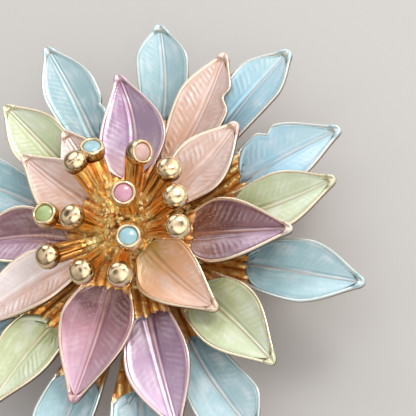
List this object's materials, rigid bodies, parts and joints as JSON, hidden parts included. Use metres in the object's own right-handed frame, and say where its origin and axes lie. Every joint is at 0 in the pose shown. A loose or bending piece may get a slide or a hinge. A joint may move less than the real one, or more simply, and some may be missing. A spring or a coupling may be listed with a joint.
{
  "type": "enamel flower brooch",
  "caption": "Layered flower brooch: gold-plated cast flowers with pastel enamel petals, a tuft of ball-headed stamens and a bar pin on the back.",
  "frame": {"origin": "middle of the flower's outline seen from the front, on the surface that the feet of the pin stand on", "axes": "+Z out of the face of the flower, +X along the bar of the pin towards the viewer's right, +Y towards the top of the brooch as worn"},
  "size_m": [0.0657, 0.0665, 0.0228],
  "materials": {
    "gold_plate": "polished pale gold plate over a zinc alloy casting",
    "antique_gold": "gold plate, fluted and darker in the grooves",
    "sky_enamel": "translucent pearly enamel over engraved veins",
    "leaf_enamel": "translucent pearly enamel over engraved veins",
    "pink_enamel": "translucent pearly enamel over engraved veins",
    "mauve_enamel": "translucent pearly enamel over engraved veins"
  },
  "bodies": {
    "root": {"outer_flower": "gold_plate", "green_flower": "gold_plate", "middle_flower": "gold_plate", "top_flower": "gold_plate", "stamens": "antique_gold", "pin_back": "gold_plate", "outer_enamel_1": "sky_enamel", "outer_enamel_2": "sky_enamel", "outer_enamel_3": "sky_enamel", "outer_enamel_4": "sky_enamel", "outer_enamel_5": "sky_enamel", "outer_enamel_6": "sky_enamel", "outer_enamel_7": "sky_enamel", "outer_enamel_8": "sky_enamel", "outer_enamel_9": "sky_enamel", "outer_enamel_10": "sky_enamel", "outer_enamel_11": "sky_enamel", "green_enamel_1": "leaf_enamel", "green_enamel_2": "leaf_enamel", "green_enamel_3": "leaf_enamel", "green_enamel_4": "leaf_enamel", "middle_enamel_1": "pink_enamel", "middle_enamel_2": "pink_enamel", "middle_enamel_3": "mauve_enamel", "middle_enamel_4": "mauve_enamel", "middle_enamel_5": "mauve_enamel", "top_enamel_1": "pink_enamel", "top_enamel_2": "mauve_enamel", "top_enamel_3": "pink_enamel", "top_enamel_4": "pink_enamel", "top_enamel_5": "mauve_enamel", "top_enamel_6": "pink_enamel", "stamen_dot_1": "sky_enamel", "stamen_dot_2": "leaf_enamel", "stamen_dot_3": "pink_enamel", "stamen_dot_4": "mauve_enamel", "stamen_dot_5": "sky_enamel"}
  },
  "joints": []
}
